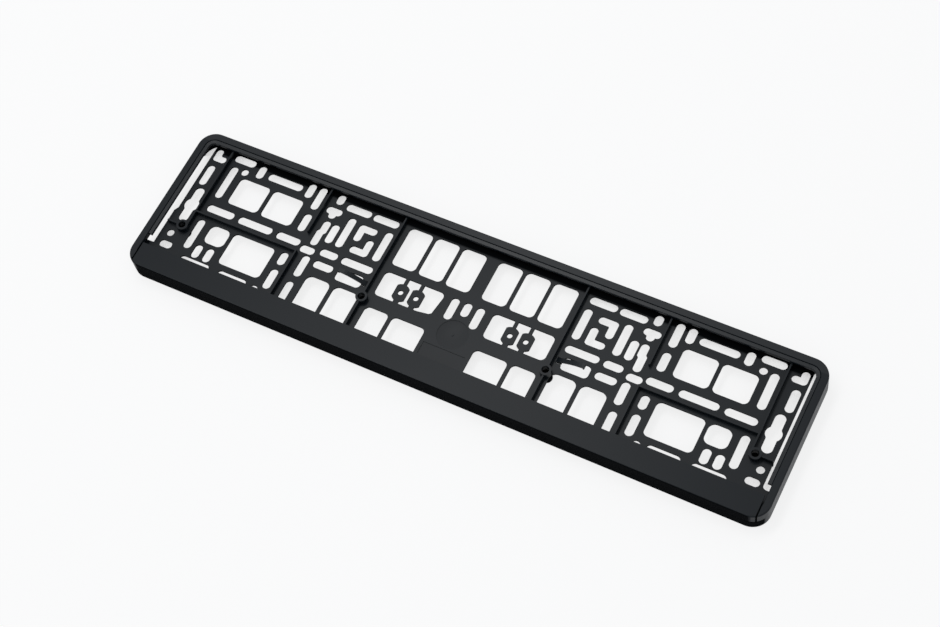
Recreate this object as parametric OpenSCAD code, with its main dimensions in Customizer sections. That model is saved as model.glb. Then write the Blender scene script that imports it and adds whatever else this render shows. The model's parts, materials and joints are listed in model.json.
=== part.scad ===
// Number plate holder: a slotted grid inside a raised rim, and a hinged flap that closes over the
// plate's lower edge. It lies on the foot of its rim, with its front up and the flap's edge at -Y.
// The origin is the centre of the rim's foot.

/* [Number plate] */
// Length of the number plate that it takes
plate_l = 520; // [516:1:526]
// Height of the number plate that it takes
plate_w = 114; // [110:1:118]
// Play around the number plate
plate_play = 0.6; // [0.3:0.1:1]

/* [Rim] */
// Height of the rim above its foot
rim_h = 18; // [16:0.5:22]
// Thickness of the rim's wall
wall_t = 3.2; // [3:0.1:3.6]
// Thickness of the rim's skirt, below the grid
skirt_t = 1.2; // [1:0.1:2]
// Height of the cut in the foot of the left wall
foot_cut_h = 5; // [3:0.1:5.6]
// How far the lip reaches in from the wall over the plate
lip_w = 5.8; // [4:0.1:6.2]
// Thickness of the lip
lip_t = 2.2; // [1.6:0.1:2.6]
// Outer radius of the rim's corners
corner_r = 14; // [11:0.5:18]
// Radius of the rim's outer top edge
edge_r = 0.9; // [0.4:0.1:1.4]
// Width of the lowered band along the lip
band_w = 3.1; // [2:0.1:3.6]
// Drop of the band below the rim's top
band_drop = 0.5; // [0.2:0.1:0.8]

/* [Flap] */
// Height of the flap's face
flap_w = 19.6; // [16:0.1:22]
// Thickness of the flap's face
flap_t = 1.8; // [1.4:0.1:2.2]
// Thickness of the flap's lower wall
flap_wall_t = 2.2; // [1.8:0.1:2.4]
// Gap between the flap's end and the rim
flap_gap = 1.2; // [0.6:0.1:1.6]
// Play between the flap's lower wall and the grid
flap_play = 0.6; // [0.4:0.1:0.8]
// Slit between the rounded ends of the flap's wall and the rim
slit_h = 0.8; // [0.4:0.1:1.2]
// Distance from the rim's lower face to the end of the side lips
lip_end = 28.7; // [24:0.1:32]
// Space below the plate's lower edge, for the wall and the stops
foot_w = 12.8; // [12:0.1:15]

/* [Grid] */
// Height of the grid's front face above the foot
grid_h = 10.2; // [9:0.1:11]
// Thickness of the grid
grid_t = 1.8; // [1.4:0.1:2.2]
// Width of the screw slots
slot_w = 6.8; // [6:0.1:7]
// Corner radius of the large windows
window_r = 4.2; // [3:0.1:5]
// Height of the stiffening ribs on the front
rib_h = 4.2; // [3:0.1:4.6]
// Height of the stiffening ribs on the back
back_rib_h = 3; // [2:0.1:4]
// Thickness of the ribs
rib_t = 1.2; // [0.8:0.1:1.6]
// Gap between the grid's end and the rim's wall, open under the side lip
side_gap = 8.8; // [8:0.1:9.4]

/* [Bosses] */
// Outer diameter of the screw bosses
boss_d = 9.2; // [8.4:0.1:9.6]
// Bore of the screw bosses
boss_bore_d = 5.8; // [4.2:0.1:6.2]
// Height of the bosses above the grid
boss_h = 4.8; // [3.6:0.1:5]
// Distance of the inner bosses from the middle
boss_in_x = 76.8; // [76:0.1:77.4]
// Distance of the outer bosses from the grid's end
boss_end = 13.5; // [13.2:0.1:14.2]

/* [Spring fingers] */
// Width of a finger
finger_w = 3.6; // [2.6:0.1:4.4]
// Length of a finger
finger_l = 23; // [18:0.5:24]
// How far a finger's tip stands above the grid
finger_rise = 7.2; // [4:0.1:7.4]
// Thickness of a finger
finger_t = 1; // [0.8:0.1:1.8]

/* [Break-out tabs] */
// Width of a tab
tab_w = 10.2; // [9:0.1:11]
// Height of a tab
tab_h = 14.6; // [13:0.1:16]
// Hole in a tab
tab_hole_d = 4.2; // [3:0.1:5]
// Width of the stalk that holds a tab
stalk_w = 2.6; // [1.8:0.1:3.4]

/* [Hidden] */
$fn = 48;
plastic = [0.17, 0.175, 0.185];
arc_steps = 4;

// Overall sizes, worked out from the plate
frame_l = plate_l + 2 * (plate_play + wall_t);
frame_w = plate_w + plate_play + wall_t + foot_w;
half_l = frame_l / 2;
half_w = frame_w / 2;
rail_w = wall_t + lip_w;
lip_under = rim_h - band_drop - lip_t;
grid_back = grid_h - grid_t;
near_y = -half_w;

// The flap's lower wall stands on the rim's lower wall, level with the grid's back
hinge_z = grid_back;
hinge_l = frame_l - 2 * corner_r - 6;
step_x = half_l - rail_w + band_w;
flap_half = step_x - flap_gap;
grid_inset = flap_wall_t + flap_play;

// The slots are placed from the middle rib, which keeps its distance from the far side of the rim
mid_y = half_w - 68.2;
edge_x = half_l - wall_t - side_gap;
rib_end = near_y + 11.4;
window_foot = near_y + 12.4;

// Columns of ribs: two are placed from the middle, and the third and the outer bosses from the end
rib_in_x = 77;
rib_mid_x = 143.2;
rib_out_x = edge_x - 16.8;
boss_out_x = edge_x - boss_end;
boss_y = mid_y - 15.6;
rib_mid_end = mid_y + 19;
rib_clear = 1;

// Stiffening groove between the rim's flat top and its band
groove_w = 0.7;
groove_d = 0.9;
band_slope = 0.3;
lip_edge_r = 0.4;

// Land inside the lower wall, which carries the grid's lower edge
land_w = 7.2;
land_t = 1.2;

// Stops for the plate's lower edge, and the tongues of the flap
stop_x = [30, 112, half_l - 67.8];
stop_l = 10;
stop_t = 2.4;
stop_gap = 0.4;
tongue_x = [60, 150, half_l - 25.8];
tongue_l = 9;
tongue_t = 1.6;
tongue_play = 0.4;
tongue_y = near_y + 6.6;

// The finger lies in the middle of its window and is cut free towards its root
finger_x = 79.6;
finger_y = mid_y - 3.1;
finger_slit = 0.8;
finger_hook = 2.2;
finger_root = 84;

// Tabs stand in the two windows beside the middle
tab_x = [39.4, 52.5];
tab_y = mid_y + 0.8;
tab_window = [20.5, 71.5];
tab_low = -8.4;
tab_high = 13.6;

// Points along a quarter turn of radius r about c, from angle a to angle b
function arc(c, r, a, b) = [for (i = [0 : arc_steps]) let (t = a + (b - a) * i / arc_steps)
    c + r * [cos(t), sin(t)]];

// A bar with round ends, centred on x and y
module slot_across(x, y, l, w = slot_w) {
    translate([x, y]) {
        square([l - w, w], center = true);
        for (s = [-1, 1]) translate([s * (l - w) / 2, 0]) circle(d = w);
    }
}

module slot_up(x, y, l, w = slot_w) {
    translate([x, y]) {
        square([w, l - w], center = true);
        for (s = [-1, 1]) translate([0, s * (l - w) / 2]) circle(d = w);
    }
}

// A rectangle with round corners between two corner points
module window(x0, y0, x1, y1, r = window_r) {
    translate([(x0 + x1) / 2, (y0 + y1) / 2]) {
        square([abs(x1 - x0) - 2 * r, abs(y1 - y0)], center = true);
        square([abs(x1 - x0), abs(y1 - y0) - 2 * r], center = true);
        for (i = [-1, 1], j = [-1, 1])
            translate([i * (abs(x1 - x0) / 2 - r), j * (abs(y1 - y0) / 2 - r)]) circle(r = r);
    }
}

module round_rect(l, w, r) {
    window(-l / 2, -w / 2, l / 2, w / 2, r);
}

// Section of the rim: the outer face is at 0 and the section grows inwards, towards -X
module rail_section() {
    polygon(concat(
        [[-skirt_t, 0], [0, 0]],
        arc([-edge_r, rim_h - edge_r], edge_r, 0, 90),
        [[-rail_w + band_w + groove_w / 2, rim_h],
         [-rail_w + band_w, rim_h - groove_d],
         [-rail_w + band_w - groove_w / 2, rim_h - band_drop]],
        arc([-rail_w + lip_edge_r, rim_h - band_drop - band_slope - lip_edge_r], lip_edge_r, 90, 180),
        [[-rail_w, lip_under - band_slope], [-wall_t, lip_under]],
        [[-wall_t, grid_back], [-skirt_t, grid_back - wall_t + skirt_t]]
    ));
}

// Section of the lower wall below the flap, with the land that carries the grid
module foot_section() {
    polygon([[-wall_t, 0], [0, 0], [0, hinge_z], [-land_w, hinge_z], [-land_w, hinge_z - land_t],
        [-wall_t, hinge_z - land_t - (land_w - wall_t)]]);
}

// Section of the flap along its lower edge: the wall and the start of its face
module flap_section(low) {
    polygon(concat(
        [[-flap_wall_t, low], [0, low]],
        arc([-edge_r, rim_h - edge_r], edge_r, 0, 90),
        [[-corner_r + 1, rim_h], [-corner_r + 1, rim_h - flap_t], [-flap_wall_t, rim_h - flap_t]]
    ));
}

// Carries a section round one corner, s to the right or left and t to the far or near side
module corner_sweep(s, t) {
    start = t > 0 ? (s > 0 ? 0 : 90) : (s > 0 ? 270 : 180);
    translate([s * (half_l - corner_r), t * (half_w - corner_r), 0])
        rotate([0, 0, start])
            rotate_extrude(angle = 90) translate([corner_r, 0]) children();
}

// Carries a section along the far or the near side
module long_sweep(t, l) {
    translate([0, t * half_w, 0])
        rotate([0, 0, t > 0 ? 90 : -90])
            rotate([90, 0, 0]) linear_extrude(height = l, center = true) children();
}

// Carries a section along the right or the left side
module short_sweep(s) {
    translate([s * half_l, 0, 0])
        rotate([0, 0, s > 0 ? 0 : 180])
            rotate([90, 0, 0]) linear_extrude(height = frame_w - 2 * corner_r, center = true) children();
}

module rim() {
    difference() {
        union() {
            long_sweep(1, frame_l - 2 * corner_r) rail_section();
            for (s = [-1, 1]) {
                short_sweep(s) rail_section();
                for (t = [-1, 1]) corner_sweep(s, t) rail_section();
            }
        }
        // Room for the flap, and the end of the side lips
        translate([-step_x, near_y - 1, hinge_z])
            cube([2 * step_x, lip_end + 1, rim_h]);
        // Cut in the left wall's foot
        translate([-half_l - 1, near_y + corner_r + 1, -1])
            cube([wall_t + 2, frame_w - 2 * corner_r - 2, foot_cut_h + 1]);
    }
    long_sweep(-1, frame_l - 2 * corner_r) foot_section();
}

// Openings of the strip beyond the outermost rib, placed from the grid's end
module side_openings(s) {
    x = s * (edge_x - 5.7);
    slot_up(x, mid_y + 34, 19.5);
    translate([s * (edge_x - 6.2), mid_y - 23.6]) circle(d = 6.2);
    slot_across(s * (edge_x - 8), mid_y - 34, 11, 6.4);
    // Bent slot
    slot_up(s * (edge_x - 4.7), mid_y + 53.8, 11.6, 6.2);
    slot_across(s * (edge_x - 7.5), mid_y + 51.1, 11.8, 6.2);
    // Keyhole
    slot_up(s * (edge_x - 8.3), mid_y + 5.6, 32.6, 8.2);
    translate([s * (edge_x - 8.3), mid_y + 5.4]) circle(d = 12.3);
}

// One opening of the panel beside the outermost rib, its middle placed at d from the grid's end.
// Only openings that clear the middle rib are cut.
module end_slot_across(s, d, y, l) {
    if (edge_x - d - l / 2 > rib_mid_x + rib_clear) slot_across(s * (edge_x - d), y, l);
}

module end_slot_up(s, d, y, l) {
    if (edge_x - d - slot_w / 2 > rib_mid_x + rib_clear) slot_up(s * (edge_x - d), y, l);
}

module end_window(s, d0, y0, d1, y1, r = window_r) {
    if (edge_x - d0 > rib_mid_x + rib_clear) window(s * (edge_x - d0), y0, s * (edge_x - d1), y1, r);
}

// Openings between the outermost rib and the middle one
module outer_openings(s) {
    // Above the middle rib
    end_slot_up(s, 24.1, mid_y + 34.2, 31);
    end_slot_across(s, 28.6, mid_y + 57.2, 19.3);
    translate([s * (edge_x - 33.3), mid_y + 47.8]) circle(d = 6.2);
    end_slot_up(s, 45.6, mid_y + 53, 12);
    end_slot_across(s, 68.5, mid_y + 52.4, 31.3);
    end_slot_up(s, 90.9, mid_y + 53.3, 13.5);
    end_slot_up(s, 100.7, mid_y + 49.6, 21.2);
    end_slot_up(s, 100.7, mid_y + 26.2, 16.6);
    end_window(s, 61, mid_y + 17.8, 33.4, mid_y + 43);
    end_window(s, 91.5, mid_y + 17.8, 63.9, mid_y + 43);
    end_slot_across(s, 33.8, mid_y + 8.4, 24.8);
    end_slot_across(s, 65.8, mid_y + 8.4, 30.8);
    end_slot_across(s, 96, mid_y + 8.4, 21.2);
    // Below the middle rib
    end_slot_up(s, 24.4, mid_y - 17, 27.7);
    end_window(s, 51.6, mid_y - 20.6, 33.6, mid_y - 3.8, 5.4);
    end_window(s, 91.9, mid_y - 32.4, 54.4, mid_y - 3.6);
    end_slot_up(s, 34.6, mid_y - 29.9, 12.3);
    end_slot_up(s, 44.8, mid_y - 29.7, 12.7);
    end_slot_up(s, 100.7, mid_y - 9, 11.9);
    end_slot_up(s, 100.7, mid_y - 28.3, 18.4);
    end_slot_across(s, 38, mid_y - 40.4, 26.4);
    end_slot_across(s, 72.2, mid_y - 40.4, 25.8);
    end_slot_up(s, 92.6, mid_y - 43.4, 11);
}

// Openings between the middle rib column and the inner one
module inner_openings(s) {
    slot_across(s * 137.1, mid_y + 5.5, 12.7);
    slot_up(s * 134.2, mid_y + 55.4, 9.4);
    // Slot with a stub
    slot_across(s * 134.2, mid_y + 44.2, 13.7, 6.6);
    slot_up(s * 134.2, mid_y + 42.4, 10.4, 6.6);
    // Stepped slot
    slot_up(s * 134.1, mid_y + 28.3, 12.8, 6.6);
    slot_up(s * 135.6, mid_y + 18.6, 15.8, 6.6);
    slot_up(s * 126, mid_y + 25.6, 17.5);
    slot_up(s * 116.7, mid_y + 30.7, 27.8);
    slot_up(s * 84.1, mid_y + 30.8, 27.4);
    slot_across(s * 116.1, mid_y + 52, 22.1);
    slot_across(s * 92, mid_y + 52, 22.3);
    // Two bent slots that face each other
    slot_across(s * 101.5, mid_y + 39.5, 15.8, 6.4);
    slot_up(s * 106.2, mid_y + 34.9, 15.6, 6.4);
    slot_up(s * 94.6, mid_y + 24.5, 15.6, 6.4);
    slot_across(s * 99.3, mid_y + 19.9, 15.8, 6.4);
    slot_across(s * 119.4, mid_y + 8.4, 15.5);
    slot_across(s * 94.6, mid_y + 8.4, 27.2);
    slot_across(s * 118.4, mid_y - 2.7, 17.1);
    slot_up(s * 134.1, mid_y - 8.8, 19.6);
    slot_up(s * 134.9, mid_y - 35.9, 24.4, 6.6);
    window(s * 104.8, window_foot, s * 125.8, mid_y - 13.3, 5.5);
    window(s * 80.6, window_foot, s * 101.7, mid_y - 13.3, 5.5);
    // Window of the spring finger
    window(s * finger_root, mid_y - 9.2, s * 106, mid_y + 1.6, 3.4);
    for (t = [-1, 1])
        translate([s * (finger_x + finger_root + 4) / 2, finger_y + t * (finger_w + finger_slit) / 2])
            square([finger_root + 4 - finger_x, finger_slit], center = true);
}

// Openings of the middle field
module middle_openings(s) {
    for (x = [5.1, 28.2, 51.2]) window(s * x, mid_y + 20, s * (x + 20.3), mid_y + 55);
    window(s * tab_window[0], mid_y + tab_low, s * tab_window[1], mid_y + tab_high);
    slot_up(s * 10.6, mid_y + 3.9, 19.1);
    window(s * 51.3, window_foot, s * 71.4, mid_y - 19.1);
    window(s * 20.5, window_foot, s * 48.3, mid_y - 19.1);
}

// Gap between the grid's end and the rim, with a step at the lower left
module side_gap_opening(s) {
    window(s * edge_x, near_y + 26.1, s * (half_l - wall_t + 2), half_w - 5.8, 3);
}

module left_step() {
    polygon([[-edge_x + 1, mid_y - 1], [-edge_x, mid_y - 1], [-edge_x - 1.9, mid_y - 4.5],
        [-edge_x - 1.9, near_y + 24], [-edge_x + 1, near_y + 24]]);
}

// One break-out tab on its stalk, with a narrow neck below
module tab(x) {
    intersection() {
        translate([x, tab_y]) circle(d = tab_h);
        translate([x, tab_y]) square([tab_w, tab_h + 2], center = true);
    }
    translate([x - stalk_w / 2, tab_y]) square([stalk_w, mid_y + tab_high + 1 - tab_y]);
    translate([x - stalk_w * 0.8, mid_y + tab_low - 1]) square([stalk_w * 1.6, tab_y - mid_y - tab_low]);
}

// Tapered end of the left tab window
module left_taper() {
    polygon([[-tab_window[0] + 1, mid_y + 9], [-tab_window[0], mid_y + 9], [-22.7, mid_y - 5.6],
        [-24.4, mid_y - 7], [-34, mid_y + tab_low], [-tab_window[0] + 1, mid_y + tab_low - 1]]);
}

module grid_face() {
    difference() {
        union() {
            difference() {
                round_rect(frame_l - 2 * grid_inset, frame_w - 2 * grid_inset, corner_r - grid_inset);
                for (s = [-1, 1]) {
                    side_openings(s);
                    outer_openings(s);
                    inner_openings(s);
                    middle_openings(s);
                    side_gap_opening(s);
                }
                slot_up(0, mid_y + 7.3, 12.3);
            }
            left_step();
            left_taper();
            for (s = [-1, 1], x = tab_x) tab(s * x);
        }
        for (s = [-1, 1], x = tab_x) translate([s * x, tab_y]) circle(d = tab_hole_d);
    }
}

// A rib between two points along X or along Y
module rib(x0, y0, x1, y1, z0, z1) {
    translate([min(x0, x1) - rib_t / 2, min(y0, y1) - rib_t / 2, z0])
        cube([abs(x1 - x0) + rib_t, abs(y1 - y0) + rib_t, z1 - z0]);
}

// The lines that the ribs follow, on the front and on the back
module rib_lines(s, z0, z1) {
    far = half_w - wall_t;
    rib(s * rib_in_x, far, s * rib_in_x, rib_end, z0, z1);
    rib(s * rib_mid_x, far, s * rib_mid_x, rib_mid_end, z0, z1);
    rib(s * rib_mid_x, mid_y, s * rib_mid_x, rib_end, z0, z1);
    rib(s * rib_mid_x, mid_y, s * rib_out_x, mid_y, z0, z1);
    rib(s * rib_out_x, far, s * rib_out_x, boss_y, z0, z1);
    rib(s * boss_out_x, boss_y, s * (edge_x - rib_t / 2), boss_y, z0, z1);
}

module boss(x) {
    translate([x, boss_y, grid_back]) cylinder(d = boss_d, h = grid_t + boss_h);
}

module boss_bore(x) {
    translate([x, boss_y, -1]) cylinder(d = boss_bore_d, h = grid_h + boss_h + 2);
}

// A finger that rises along a quarter wave from its root to its tip, with a hook under the tip
module finger(s) {
    steps = 10;
    top = [for (i = [0 : steps]) [finger_l * i / steps, finger_rise * sin(90 * i / steps)]];
    hook = [for (q = [[0, finger_hook], [finger_t, finger_hook], [finger_t, finger_t]])
        [finger_l - q[0], finger_rise - q[1]]];
    under = [for (i = [steps - 1 : -1 : 0]) top[i] - [0, finger_t]];
    translate([s * finger_x, finger_y + finger_w / 2, grid_h])
        rotate([90, 0, 0]) linear_extrude(height = finger_w)
            polygon([for (p = concat(top, hook, under)) [s * p[0], p[1]]]);
}

// Stops that the plate's lower edge stands on, hidden behind the closed flap
module stops() {
    plate_low = half_w - wall_t - plate_w - plate_play;
    for (s = [-1, 1], x = stop_x)
        translate([s * x - stop_l / 2, plate_low - stop_t, grid_back])
            cube([stop_l, stop_t, rim_h - flap_t - stop_gap - grid_back]);
}

// Shallow dish at the middle of the face, and the lowered field below it
module face_marks() {
    translate([0, mid_y - 15.3, grid_h - 0.3])
        difference() {
            cylinder(r = 12, h = 1);
            translate([0, 0, -1]) cylinder(r = 1.2, h = 3);
        }
    translate([-17.4, window_foot, grid_h - 0.4]) cube([34.8, mid_y - 28.8 - window_foot, 1]);
}

module tongue_slots() {
    for (s = [-1, 1], x = tongue_x)
        translate([s * x - tongue_l / 2 - tongue_play, tongue_y - tongue_t / 2 - tongue_play, 0])
            cube([tongue_l + 2 * tongue_play, tongue_t + 2 * tongue_play, grid_h + 1]);
}

module holder_base() {
    color(plastic) difference() {
        union() {
            rim();
            translate([0, 0, grid_back]) linear_extrude(height = grid_t) grid_face();
            for (s = [-1, 1]) {
                rib_lines(s, grid_back, grid_h + rib_h);
                rib_lines(s, grid_back - back_rib_h, grid_h);
                boss(s * boss_in_x);
                boss(s * boss_out_x);
                finger(s);
            }
            stops();
        }
        for (s = [-1, 1]) {
            boss_bore(s * boss_in_x);
            boss_bore(s * boss_out_x);
        }
        face_marks();
        tongue_slots();
    }
}

module flap_tongues() {
    for (s = [-1, 1], x = tongue_x)
        translate([s * x - tongue_l / 2, tongue_y - tongue_t / 2, grid_back])
            cube([tongue_l, tongue_t, rim_h - flap_t / 2 - grid_back]);
}

module plate_flap() {
    color(plastic) {
        intersection() {
            union() {
                long_sweep(-1, hinge_l) flap_section(hinge_z);
                long_sweep(-1, frame_l - 2 * corner_r) flap_section(hinge_z + slit_h);
                for (s = [-1, 1]) corner_sweep(s, -1) flap_section(hinge_z + slit_h);
                translate([-flap_half, near_y + corner_r - 1.5, rim_h - flap_t])
                    cube([2 * flap_half, flap_w, flap_t]);
            }
            translate([-flap_half, near_y - 1, 0]) cube([2 * flap_half, flap_w + 1, rim_h + 1]);
        }
        flap_tongues();
    }
}

holder_base();
plate_flap();
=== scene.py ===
import json
import math

import bmesh
import bpy
from mathutils import Matrix, Vector


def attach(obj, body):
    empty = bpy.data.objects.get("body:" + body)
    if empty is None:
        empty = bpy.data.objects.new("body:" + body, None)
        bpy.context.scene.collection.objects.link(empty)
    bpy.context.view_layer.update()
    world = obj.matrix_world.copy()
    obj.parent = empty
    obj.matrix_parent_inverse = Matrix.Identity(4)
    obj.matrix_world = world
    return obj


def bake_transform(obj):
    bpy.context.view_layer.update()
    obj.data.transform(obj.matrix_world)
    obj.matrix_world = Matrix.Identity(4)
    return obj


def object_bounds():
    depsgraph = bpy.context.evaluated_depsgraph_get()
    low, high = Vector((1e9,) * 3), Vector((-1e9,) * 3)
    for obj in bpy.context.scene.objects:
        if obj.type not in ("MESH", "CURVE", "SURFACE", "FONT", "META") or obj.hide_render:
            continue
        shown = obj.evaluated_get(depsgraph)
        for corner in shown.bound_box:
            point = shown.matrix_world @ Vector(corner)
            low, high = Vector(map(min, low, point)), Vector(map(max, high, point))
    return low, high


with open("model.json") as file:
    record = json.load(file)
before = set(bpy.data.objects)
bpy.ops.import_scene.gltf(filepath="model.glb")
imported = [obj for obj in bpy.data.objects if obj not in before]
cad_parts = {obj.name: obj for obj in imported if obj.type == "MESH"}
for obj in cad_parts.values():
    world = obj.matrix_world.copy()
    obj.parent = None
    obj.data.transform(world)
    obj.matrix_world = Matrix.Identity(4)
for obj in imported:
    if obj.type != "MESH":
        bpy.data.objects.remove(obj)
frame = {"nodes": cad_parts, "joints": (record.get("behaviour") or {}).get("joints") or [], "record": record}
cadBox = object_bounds()
print("frame loaded:", sorted(frame["nodes"]))

mm = 0.001
scene = bpy.context.scene
scene.view_settings.view_transform = "Standard"
hingeJoint = next(joint for joint in frame["joints"] if joint["name"] == "flap_hinge")
hinge = Vector(hingeJoint["pos_m"])
gridBack = hingeJoint["pos_m"][2]      # the hinge lies as high as the back of the grid


# Camera: it looks down on the holder from its front right, a little turned

view = {
    "lookAt": (-65.67 * mm, 35.47 * mm, 0.0),
    "azimuth": 41.389,         # from the holder's lower edge round to its right end
    "elevation": 58.748,
    "roll": -15.875,
    "distance": 1424.81 * mm,
    "lens": 71.069,
    "sensor": 36.0,
    "shift": (0.0638, -0.0638),    # the picture is cut a little off its own middle
    "clip": (0.05, 30),
}


def makeCamera():
    azimuth = math.radians(view["azimuth"])
    elevation = math.radians(view["elevation"])
    back = Vector((
        math.sin(azimuth) * math.cos(elevation),
        -math.cos(azimuth) * math.cos(elevation),
        math.sin(elevation),
    ))
    right = Vector((0, 0, 1)).cross(back).normalized()
    up = back.cross(right)
    turn = Matrix((right, up, back)).transposed().to_4x4()
    turn = turn @ Matrix.Rotation(math.radians(view["roll"]), 4, "Z")
    data = bpy.data.cameras.new("camera")
    data.lens = view["lens"]
    data.sensor_width = view["sensor"]
    data.sensor_fit = "HORIZONTAL"
    data.shift_x, data.shift_y = view["shift"]
    data.clip_start, data.clip_end = view["clip"]
    camera = bpy.data.objects.new("camera", data)
    place = Vector(view["lookAt"]) + back * view["distance"]
    camera.matrix_world = Matrix.Translation(place) @ turn
    scene.collection.objects.link(camera)
    scene.camera = camera


makeCamera()
print("camera placed")


# Small helpers for node trees. A value is either a plain number or colour, or another node's output

def addNode(tree, kind, place, **values):
    node = tree.nodes.new(kind)
    node.location = place
    for name, value in values.items():
        setattr(node, name, value)
    return node


def feed(tree, socket, value):
    if isinstance(value, bpy.types.NodeSocket):
        tree.links.new(value, socket)
    elif value is not None:
        socket.default_value = value


def mathNode(tree, operation, place, first=None, second=None):
    node = addNode(tree, "ShaderNodeMath", place, operation=operation)
    feed(tree, node.inputs[0], first)
    feed(tree, node.inputs[1], second)
    return node.outputs[0]


def rangeNode(tree, place, value, source=(0.0, 1.0), target=(0.0, 1.0)):
    node = addNode(tree, "ShaderNodeMapRange", place, clamp=True)
    feed(tree, node.inputs["Value"], value)
    for label, given in zip(("From Min", "From Max", "To Min", "To Max"), tuple(source) + tuple(target)):
        feed(tree, node.inputs[label], given)
    return node.outputs[0]


def mixNode(tree, kind, place, factor, first, second):
    node = addNode(tree, "ShaderNodeMix", place, data_type=kind)
    feed(tree, node.inputs["Factor"], factor)
    feed(tree, node.inputs["A"], first)
    feed(tree, node.inputs["B"], second)
    return node.outputs["Result"]


def newGroup(name, inputs, outputs):
    tree = bpy.data.node_groups.new(name, "ShaderNodeTree")
    for label, kind, value in inputs:
        socket = tree.interface.new_socket(name=label, in_out="INPUT", socket_type=kind)
        socket.default_value = value
    for label, kind in outputs:
        tree.interface.new_socket(name=label, in_out="OUTPUT", socket_type=kind)
    entry = addNode(tree, "NodeGroupInput", (-900, 0))
    leave = addNode(tree, "NodeGroupOutput", (700, 0))
    return tree, entry, leave


# Spark-eroded grain of the mould, with the slow change of gloss that a large moulding has

grainShape = {
    "detail": 3.0,
    "roughness": 0.6,
    "pitSize": 0.6,            # pits per grain, along a line
    "pitDepth": 0.5,
    "flowDetail": 4.0,
    "flowDistortion": 0.6,
}


def makeGrainGroup():
    tree, entry, leave = newGroup(
        "mouldedGrain",
        [("Vector", "NodeSocketVector", (0, 0, 0)),
         ("Grains per Metre", "NodeSocketFloat", 2400.0),
         ("Flow per Metre", "NodeSocketFloat", 14.0)],
        [("Height", "NodeSocketFloat"), ("Tone", "NodeSocketFloat"), ("Flow", "NodeSocketFloat")],
    )
    grains = entry.outputs["Grains per Metre"]
    fine = addNode(tree, "ShaderNodeTexNoise", (-600, 250))
    fine.inputs["Detail"].default_value = grainShape["detail"]
    fine.inputs["Roughness"].default_value = grainShape["roughness"]
    pits = addNode(tree, "ShaderNodeTexVoronoi", (-600, -20), feature="F1")
    flow = addNode(tree, "ShaderNodeTexNoise", (-600, -300))
    flow.inputs["Detail"].default_value = grainShape["flowDetail"]
    flow.inputs["Distortion"].default_value = grainShape["flowDistortion"]
    pitScale = mathNode(tree, "MULTIPLY", (-780, -60), grains, grainShape["pitSize"])
    for node, scale in ((fine, grains), (pits, pitScale), (flow, entry.outputs["Flow per Metre"])):
        feed(tree, node.inputs["Vector"], entry.outputs["Vector"])
        feed(tree, node.inputs["Scale"], scale)
    pitDepth = mathNode(tree, "MULTIPLY", (-380, -20), pits.outputs["Distance"], grainShape["pitDepth"])
    height = mathNode(tree, "ADD", (-180, 150), fine.outputs[0], pitDepth)
    feed(tree, leave.inputs["Height"], height)
    feed(tree, leave.inputs["Tone"], fine.outputs[0])
    feed(tree, leave.inputs["Flow"], flow.outputs[0])
    return tree


# Edges for a painted highlight, with their rounded normal: 1 on an edge and 0 on a flat face

edgeShape = {
    "samples": 6,
    "flat": 0.995,             # how far the rounded normal agrees with the face where no edge is near
    "sharp": 0.80,             # and in the middle of an edge
}


def makeEdgeGroup():
    tree, entry, leave = newGroup(
        "edgeHighlight",
        [("Radius", "NodeSocketFloat", 0.0004)],
        [("Mask", "NodeSocketFloat"), ("Normal", "NodeSocketVector")],
    )
    bevel = addNode(tree, "ShaderNodeBevel", (-600, 100), samples=edgeShape["samples"])
    geometry = addNode(tree, "ShaderNodeNewGeometry", (-600, -150))
    agree = addNode(tree, "ShaderNodeVectorMath", (-380, 0), operation="DOT_PRODUCT")
    feed(tree, bevel.inputs["Radius"], entry.outputs["Radius"])
    feed(tree, agree.inputs[0], bevel.outputs[0])
    feed(tree, agree.inputs[1], geometry.outputs["True Normal"])
    mask = rangeNode(tree, (-160, 0), agree.outputs["Value"], (edgeShape["flat"], edgeShape["sharp"]))
    feed(tree, leave.inputs["Mask"], mask)
    feed(tree, leave.inputs["Normal"], bevel.outputs[0])
    return tree


# A part of a moulding that gets painted shade or painted sheen, or is kept free of painted shade, bounded
# along each axis.
# The moulding is mirrored about its middle, so X counts from there to both sides

zoneLabels = [axis + end for axis in "XYZ" for end in (" Start", " Full")]


def makeZoneGroup():
    sizes = [(label, "NodeSocketFloat", mm if label.endswith("Full") else 0.0) for label in zoneLabels]
    tree, entry, leave = newGroup(
        "mouldZone",
        [("Vector", "NodeSocketVector", (0, 0, 0))] + sizes,
        [("Mask", "NodeSocketFloat")],
    )
    axes = addNode(tree, "ShaderNodeSeparateXYZ", (-600, 0))
    feed(tree, axes.inputs[0], entry.outputs["Vector"])
    sideways = mathNode(tree, "ABSOLUTE", (-450, 200), axes.outputs["X"])
    distances = {"X": sideways, "Y": axes.outputs["Y"], "Z": axes.outputs["Z"]}
    mask = None
    for index, (axis, distance) in enumerate(distances.items()):
        ends = (entry.outputs[axis + " Start"], entry.outputs[axis + " Full"])
        found = rangeNode(tree, (-300, -300 * index), distance, ends)
        if mask is not None:
            found = mathNode(tree, "MULTIPLY", (100, -300 * index), mask, found)
        mask = found
    feed(tree, leave.inputs["Mask"], mask)
    return tree


grainGroup = makeGrainGroup()
edgeGroup = makeEdgeGroup()
zoneGroup = makeZoneGroup()


# Black polypropylene, semi-matte, with zones of painted shade and painted sheen. A zone is where its look
# starts and where it is full, along X, Y and Z

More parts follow.
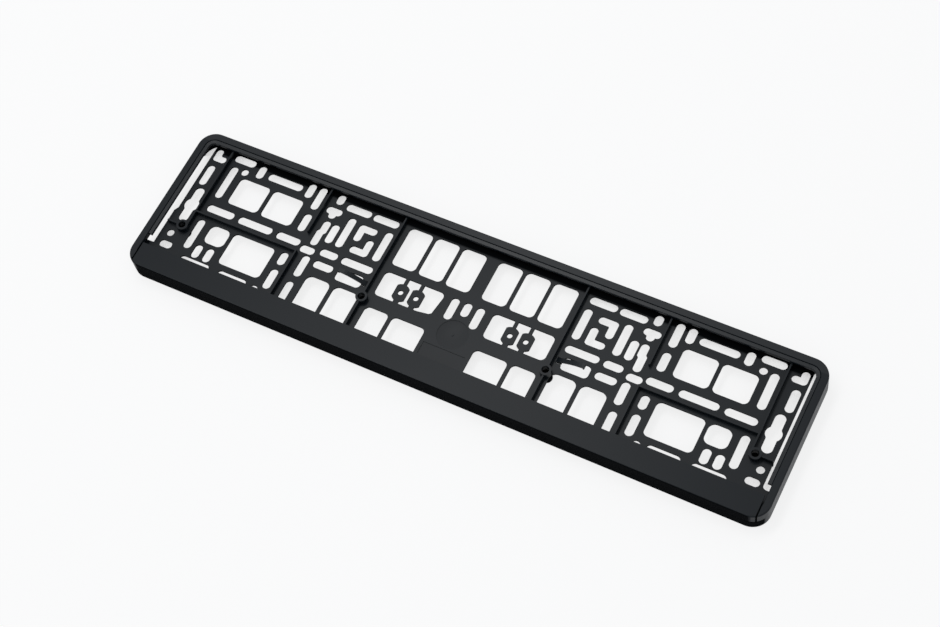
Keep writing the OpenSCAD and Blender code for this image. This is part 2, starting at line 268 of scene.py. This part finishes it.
everywhere = (-2.0, -1.0)
basePlastic = {
    "dark": (0.0018, 0.0038, 0.0060, 1),
    "light": (0.0046, 0.0076, 0.0106, 1),
    "toneShare": 0.5,          # of the grain and of the flow, from dark to light
    # painted highlight: the lighter colour of the edges, and its share
    "edge": (0.016, 0.019, 0.023, 1),
    "edgeShare": 0.7,
    "roughLow": 0.34,
    "roughHigh": 0.46,
    "flowRange": (0.3, 0.7),   # the flow that gives the low and the high roughness
    "edgeRough": 0.30,
    "specular": 0.04,
    "coat": 0.40,              # the smooth skin that a polished mould leaves
    # painted sheen: the stronger coat on the far lip and the end walls
    "lipCoat": 0.58,
    "coatRough": 0.38,
    # painted shade: the roughness and the darker colour of the shade zones
    "shadeZoneRough": 0.95,
    "paintedShadeColour": (0.0016, 0.0020, 0.0026, 1),
    "grains": 2400.0,
    "flow": 14.0,
    "grainDepth": 0.00003,
    "edgeRadius": 0.00035,
    "shadeAndRough": [
        # painted shade: the long lower wall, darker and without coat
        (everywhere, (-64.5 * mm, -65.1 * mm), everywhere),
        # painted shade: the strip of the grid below the far lip, darker and without coat
        (everywhere, (51.6 * mm, 53.4 * mm), (12.5 * mm, 11.5 * mm)),
        # painted shade: the walls of the slots and all else below the grid's face, inside the rim
        ((262.2 * mm, 261.6 * mm), (63.6 * mm, 63.0 * mm), (9.8 * mm, 9.5 * mm)),
    ],
    "unshaded": [                # never painted in shade: the outside of the far wall
        (everywhere, (63.4 * mm, 64.0 * mm), everywhere),
    ],
    "paintedSheen": [              # painted sheen, a stronger coat: the far lip and the end walls
        (everywhere, (56.0 * mm, 57.0 * mm), (15.0 * mm, 16.0 * mm)),
        ((262.8 * mm, 263.4 * mm), everywhere, everywhere),
    ],
    "dish": (0.0, -18.2 * mm, 9.9 * mm),       # the shallow dish where the mould was filled
    "dishRadius": 12.5 * mm,
    "dishDepth": 2.0 * mm,
    "dishCurve": 2.6,          # a higher power is flatter in the middle and steeper at the rim
}
flapPlastic = dict(
    basePlastic, roughLow=0.34, roughHigh=0.52, coat=0.35, flow=7.0, grains=3000.0,
)
filmPlastic = dict(basePlastic, roughLow=0.30, roughHigh=0.38, edgeRadius=0.0001)


def zoneMask(tree, vector, zones, top):
    mask = None
    for index, (alongX, alongY, alongZ) in enumerate(zones):
        height = top - 220 * index
        zone = addNode(tree, "ShaderNodeGroup", (-1080, height), node_tree=zoneGroup)
        feed(tree, zone.inputs["Vector"], vector)
        for label, value in zip(zoneLabels, alongX + alongY + alongZ):
            zone.inputs[label].default_value = value
        found = zone.outputs["Mask"]
        if mask is not None:
            found = mathNode(tree, "MAXIMUM", (-880, height), mask, found)
        mask = found
    return mask


def makePlastic(name, look):
    material = bpy.data.materials.new(name)
    material.use_nodes = True
    tree = material.node_tree
    shader = tree.nodes["Principled BSDF"]
    shader.inputs["Specular IOR Level"].default_value = look["specular"]
    shader.inputs["Coat Roughness"].default_value = look["coatRough"]
    place = addNode(tree, "ShaderNodeTexCoord", (-1300, 0)).outputs["Object"]
    grain = addNode(tree, "ShaderNodeGroup", (-1080, 60), node_tree=grainGroup)
    grain.inputs["Grains per Metre"].default_value = look["grains"]
    grain.inputs["Flow per Metre"].default_value = look["flow"]
    feed(tree, grain.inputs["Vector"], place)
    edge = addNode(tree, "ShaderNodeGroup", (-1080, -260), node_tree=edgeGroup)
    edge.inputs["Radius"].default_value = look["edgeRadius"]
    # where shade is painted: darker, rougher and without coat
    shadeZoned = zoneMask(tree, place, look["shadeAndRough"], -480)
    # where sheen is painted: a stronger coat
    paintedSheen = zoneMask(tree, place, look["paintedSheen"], -1200)
    keptUnshaded = zoneMask(tree, place, look["unshaded"], -1700)
    shadeAllowed = mathNode(tree, "SUBTRACT", (-880, -1700), 1.0, keptUnshaded)
    shadeAndRough = mathNode(tree, "MULTIPLY", (-880, -900), shadeZoned, shadeAllowed)

    # colour: grain tone, a painted highlight on the edges and painted shade in the shade zones
    tone = mathNode(tree, "MULTIPLY", (-880, 300), grain.outputs["Tone"], look["toneShare"])
    toneFlow = mathNode(tree, "MULTIPLY", (-880, 140), grain.outputs["Flow"], look["toneShare"])
    toneSum = mathNode(tree, "ADD", (-720, 220), tone, toneFlow)
    # painted highlight on the edges: this share lightens their colour and also lowers their roughness
    edgeHighlightShare = mathNode(tree, "MULTIPLY", (-880, -200), edge.outputs["Mask"], look["edgeShare"])
    body = mixNode(tree, "RGBA", (-700, 420), toneSum, look["dark"], look["light"])
    withEdgeHighlight = mixNode(tree, "RGBA", (-480, 420), edgeHighlightShare, body, look["edge"])
    withPaintedShade = mixNode(tree, "RGBA", (-260, 420), shadeAndRough, withEdgeHighlight, look["paintedShadeColour"])
    feed(tree, shader.inputs["Base Color"], withPaintedShade)

    # roughness
    roughness = (look["roughLow"], look["roughHigh"])
    gloss = rangeNode(tree, (-700, 60), grain.outputs["Flow"], look["flowRange"], roughness)
    worn = mixNode(tree, "FLOAT", (-480, 60), edgeHighlightShare, gloss, look["edgeRough"])
    dull = mixNode(tree, "FLOAT", (-260, 60), shadeAndRough, worn, look["shadeZoneRough"])
    feed(tree, shader.inputs["Roughness"], dull)

    # coat: the smooth skin, stronger as painted sheen on the far lip and end walls, and none where shade is
    # painted
    skin = rangeNode(tree, (-480, -760), paintedSheen, target=(look["coat"], look["lipCoat"]))
    unshaded = mathNode(tree, "SUBTRACT", (-480, -560), 1.0, shadeAndRough)
    coat = mathNode(tree, "MULTIPLY", (-260, -660), skin, unshaded)
    feed(tree, shader.inputs["Coat Weight"], coat)

    # relief of the grain and of the dish
    fromDish = addNode(tree, "ShaderNodeVectorMath", (-1080, 300), operation="DISTANCE")
    fromDish.inputs[1].default_value = look["dish"]
    feed(tree, fromDish.inputs[0], place)
    outward = rangeNode(tree, (-880, -400), fromDish.outputs["Value"], (0.0, look["dishRadius"]))
    bowl = mathNode(tree, "POWER", (-700, -400), outward, look["dishCurve"])
    hollow = mathNode(tree, "MULTIPLY", (-600, -260), bowl, look["dishDepth"] / look["grainDepth"])
    relief = mathNode(tree, "ADD", (-480, -260), grain.outputs["Height"], hollow)
    bump = addNode(tree, "ShaderNodeBump", (-260, -260))
    bump.inputs["Strength"].default_value = 1.0
    bump.inputs["Distance"].default_value = look["grainDepth"]
    feed(tree, bump.inputs["Height"], relief)
    feed(tree, bump.inputs["Normal"], edge.outputs["Normal"])
    feed(tree, shader.inputs["Normal"], bump.outputs[0])
    return material


def dress(nodeName, material):
    node = frame["nodes"][nodeName]
    node.data.materials.clear()
    node.data.materials.append(material)


plastics = {
    "holder_base": makePlastic("basePlastic", basePlastic),
    "plate_flap": makePlastic("flapPlastic", flapPlastic),
}
for nodeName, material in plastics.items():
    dress(nodeName, material)
print("plastic laid on:", ", ".join(plastics))


# Film hinge: the thin skin that joins the flap's wall to the rim's wall; the real one bends as the flap
# opens, this piece is made still

film = {
    "height": 1.8 * mm,
    "proud": 0.04 * mm,
    "waist": 1.5,              # how far the skin thins in its middle, in times of its stand-out
    "thickness": 0.35 * mm,
    "rows": 12,
    "corner": 17 * mm,         # the rim's corner, before which the hinge ends
    "endInset": 0.5 * mm,
}


def makeFilm():
    half = cadBox[1][0] - film["corner"] - film["endInset"]
    outer = hinge.y - film["proud"]
    inner = outer + film["thickness"]
    low = hinge.z - film["height"] / 2
    mesh = bpy.data.meshes.new("film_hinge")
    work = bmesh.new()
    rings = []
    for row in range(film["rows"] + 1):
        z = low + film["height"] * row / film["rows"]
        waist = math.sin(math.pi * row / film["rows"]) * film["proud"] * film["waist"]
        corners = [(-half, outer + waist), (half, outer + waist), (half, inner), (-half, inner)]
        rings.append([work.verts.new((x, y, z)) for x, y in corners])
    for below, above in zip(rings, rings[1:]):
        for i in range(4):
            j = (i + 1) % 4
            work.faces.new((below[i], below[j], above[j], above[i]))
    work.faces.new(rings[0][::-1])
    work.faces.new(rings[-1])
    bmesh.ops.recalc_face_normals(work, faces=work.faces)
    work.to_mesh(mesh)
    work.free()
    piece = bpy.data.objects.new("film_hinge", mesh)
    scene.collection.objects.link(piece)
    mesh.materials.append(makePlastic("filmPlastic", filmPlastic))
    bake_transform(piece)


makeFilm()
print("film hinge made")


# Sleeves: each screw boss runs on behind the grid, so that its bore looks black from the front

sleeves = {
    "mounts": ("inner_screws", "outer_screws"),
    "foot": 1.2 * mm,
    "intoGrid": 0.2 * mm,
    "wall": 1.55 * mm,
    "play": 0.02 * mm,         # the sleeve's bore is this much wider than the screw hole above it
    "chamfer": 0.4 * mm,
    "steps": 48,
}


def makeSleeves():
    cut = sleeves["chamfer"]
    low, high = sleeves["foot"], gridBack + sleeves["intoGrid"]
    work = bmesh.new()
    for mount in frame["record"]["mounts"]:
        if mount["name"] not in sleeves["mounts"]:
            continue
        bore = mount["dims"]["hole_r_mm"] * mm + sleeves["play"]
        outer = bore + sleeves["wall"]
        profile = [(bore, low), (outer - cut, low), (outer, low + cut), (outer, high), (bore, high)]
        for side in (-1, 1):
            centre = Vector((side * mount["dims"]["spacing_x_mm"] / 2 * mm, mount["pos_m"][1], 0))
            rings = []
            for step in range(sleeves["steps"]):
                turn = 2 * math.pi * step / sleeves["steps"]
                out = Vector((math.cos(turn), math.sin(turn), 0))
                rings.append([work.verts.new(centre + out * r + Vector((0, 0, z))) for r, z in profile])
            for ring, following in zip(rings, rings[1:] + rings[:1]):
                for i in range(len(profile)):
                    j = (i + 1) % len(profile)
                    work.faces.new((ring[i], following[i], following[j], ring[j]))
    bmesh.ops.recalc_face_normals(work, faces=work.faces)
    mesh = bpy.data.meshes.new("boss_sleeves")
    work.to_mesh(mesh)
    work.free()
    mesh.materials.append(plastics["holder_base"])
    piece = bpy.data.objects.new("boss_sleeves", mesh)
    scene.collection.objects.link(piece)
    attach(piece, "base")


makeSleeves()
print("sleeves made behind the bosses")


# Round marks that the mould's ejector pins left on the grid's back

pinMarks = {
    "Pin Diameter": 2.6 * mm,
    "Pin Height": 0.12 * mm,   # half of it stands out of the grid
    "Spread": 0.06,            # how unlike each other the pins are
    "Seed": 4,
    "rows": (-55.6 * mm, 59.9 * mm),
    "columns": (15, 42, 92, 112, 128, 168, 190, 214),    # in mm, to both sides of the middle
    "sides": 24,
}


def makePinTree(material):
    tree = bpy.data.node_groups.new("ejectorPins", "GeometryNodeTree")
    face = tree.interface
    face.new_socket(name="Geometry", in_out="INPUT", socket_type="NodeSocketGeometry")
    for label in ("Pin Diameter", "Pin Height", "Spread"):
        face.new_socket(name=label, in_out="INPUT", socket_type="NodeSocketFloat")
    face.new_socket(name="Seed", in_out="INPUT", socket_type="NodeSocketInt")
    face.new_socket(name="Geometry", in_out="OUTPUT", socket_type="NodeSocketGeometry")
    entry = addNode(tree, "NodeGroupInput", (-800, 0))
    leave = addNode(tree, "NodeGroupOutput", (800, 0))
    given = entry.outputs

    pin = addNode(tree, "GeometryNodeMeshCylinder", (-400, -200))
    pin.inputs["Vertices"].default_value = pinMarks["sides"]
    radius = mathNode(tree, "MULTIPLY", (-600, -200), given["Pin Diameter"], 0.5)
    feed(tree, pin.inputs["Radius"], radius)
    feed(tree, pin.inputs["Depth"], given["Pin Height"])
    vary = addNode(tree, "FunctionNodeRandomValue", (-200, -420), data_type="FLOAT")
    feed(tree, vary.inputs[2], mathNode(tree, "SUBTRACT", (-400, -480), 1.0, given["Spread"]))
    feed(tree, vary.inputs[3], mathNode(tree, "ADD", (-400, -640), 1.0, given["Spread"]))
    feed(tree, vary.inputs["Seed"], given["Seed"])
    points = addNode(tree, "GeometryNodeMeshToPoints", (-400, 100))
    placed = addNode(tree, "GeometryNodeInstanceOnPoints", (0, 0))
    whole = addNode(tree, "GeometryNodeRealizeInstances", (250, 0))
    dressed = addNode(tree, "GeometryNodeSetMaterial", (500, 0))
    dressed.inputs["Material"].default_value = material
    feed(tree, points.inputs[0], given["Geometry"])
    feed(tree, placed.inputs["Points"], points.outputs[0])
    feed(tree, placed.inputs["Instance"], pin.outputs["Mesh"])
    feed(tree, placed.inputs["Scale"], vary.outputs[1])
    feed(tree, whole.inputs[0], placed.outputs[0])
    feed(tree, dressed.inputs["Geometry"], whole.outputs[0])
    feed(tree, leave.inputs[0], dressed.outputs[0])
    return tree


def makePinMarks():
    spots = [
        (side * x * mm, y, gridBack)
        for y in pinMarks["rows"] for x in pinMarks["columns"] for side in (-1, 1)
    ]
    mesh = bpy.data.meshes.new("pin_marks")
    mesh.from_pydata(spots, [], [])
    piece = bpy.data.objects.new("pin_marks", mesh)
    scene.collection.objects.link(piece)
    modifier = piece.modifiers.new("ejectorPins", "NODES")
    modifier.node_group = makePinTree(plastics["holder_base"])
    for item in modifier.node_group.interface.items_tree:
        if item.in_out == "INPUT" and item.name in pinMarks:
            modifier[item.identifier] = pinMarks[item.name]
    ready = piece.evaluated_get(bpy.context.evaluated_depsgraph_get())
    plain = bpy.data.meshes.new_from_object(ready)
    piece.modifiers.clear()
    piece.data = plain
    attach(piece, "base")
    return len(spots)


print("ejector pin marks made:", makePinMarks())


# Pale table and the soft light over it

table = {
    "size": 8.0,
    "colour": (0.93, 0.935, 0.94, 1),
    "roughness": 0.8,
    "specular": 0.1,
    "whiteSeen": 0.80,         # how far the camera sees the table as plain white, under its shadows
    "whiteInGloss": 0.35,      # and the plastic's gloss, which otherwise shows it as it is lit
    "reach": 30 * mm,          # painted shade: the white fades where the holder shuts in the table within this reach
    "shutIn": (0.02, 0.15),
    "whiteLeft": 0.30,
    "samples": 8,
}


def makeTable():
    mesh = bpy.data.meshes.new("table")
    half = table["size"] / 2
    corners = [(-half, -half, 0), (half, -half, 0), (half, half, 0), (-half, half, 0)]
    mesh.from_pydata(corners, [], [(0, 1, 2, 3)])
    top = bpy.data.objects.new("table", mesh)
    scene.collection.objects.link(top)
    material = bpy.data.materials.new("tableTop")
    material.use_nodes = True
    tree = material.node_tree
    shader = tree.nodes["Principled BSDF"]
    shader.inputs["Base Color"].default_value = table["colour"]
    shader.inputs["Roughness"].default_value = table["roughness"]
    shader.inputs["Specular IOR Level"].default_value = table["specular"]
    white = addNode(tree, "ShaderNodeEmission", (0, -200))
    white.inputs["Strength"].default_value = 1.0
    ray = addNode(tree, "ShaderNodeLightPath", (-700, 300)).outputs
    seen = mathNode(tree, "MAXIMUM", (-500, 300), ray["Is Camera Ray"], ray["Is Transmission Ray"])
    around = addNode(
        tree, "ShaderNodeAmbientOcclusion", (-900, 560), samples=table["samples"],
    )
    around.inputs["Distance"].default_value = table["reach"]
    whites = (table["whiteLeft"] * table["whiteSeen"], table["whiteSeen"])
    # painted shade on the table: less white where the holder shuts it in
    whiteWithPaintedShade = rangeNode(tree, (-700, 560), around.outputs["AO"], table["shutIn"], whites)
    seenShare = mathNode(tree, "MULTIPLY", (-320, 300), seen, whiteWithPaintedShade)
    glossShare = mathNode(tree, "MULTIPLY", (-320, 120), ray["Is Glossy Ray"], table["whiteInGloss"])
    share = mathNode(tree, "MAXIMUM", (-140, 220), seenShare, glossShare)
    mix = addNode(tree, "ShaderNodeMixShader", (250, 0))
    feed(tree, mix.inputs[0], share)
    feed(tree, mix.inputs[1], shader.outputs[0])
    feed(tree, mix.inputs[2], white.outputs[0])
    feed(tree, tree.nodes["Material Output"].inputs["Surface"], mix.outputs[0])
    mesh.materials.append(material)


makeTable()

lamps = {
    "strip": {"at": (-0.70, 0.25, 2.05), "size": (1.5, 0.4), "power": 13.0},
}
room = {"colour": (0.95, 0.97, 1.0, 1), "strength": 0.64}


def makeLamp(name, lamp):
    data = bpy.data.lights.new(name, "AREA")
    data.shape = "RECTANGLE"
    data.size, data.size_y = lamp["size"]
    data.energy = lamp["power"]
    light = bpy.data.objects.new(name, data)
    light.location = lamp["at"]
    light.rotation_euler = (-Vector(lamp["at"])).to_track_quat("-Z", "Y").to_euler()
    scene.collection.objects.link(light)


def makeRoom():
    world = bpy.data.worlds.new("room")
    world.use_nodes = True
    background = world.node_tree.nodes["Background"]
    background.inputs["Color"].default_value = room["colour"]
    background.inputs["Strength"].default_value = room["strength"]
    scene.world = world


for name, lamp in lamps.items():
    makeLamp(name, lamp)
makeRoom()
print("table and light set")
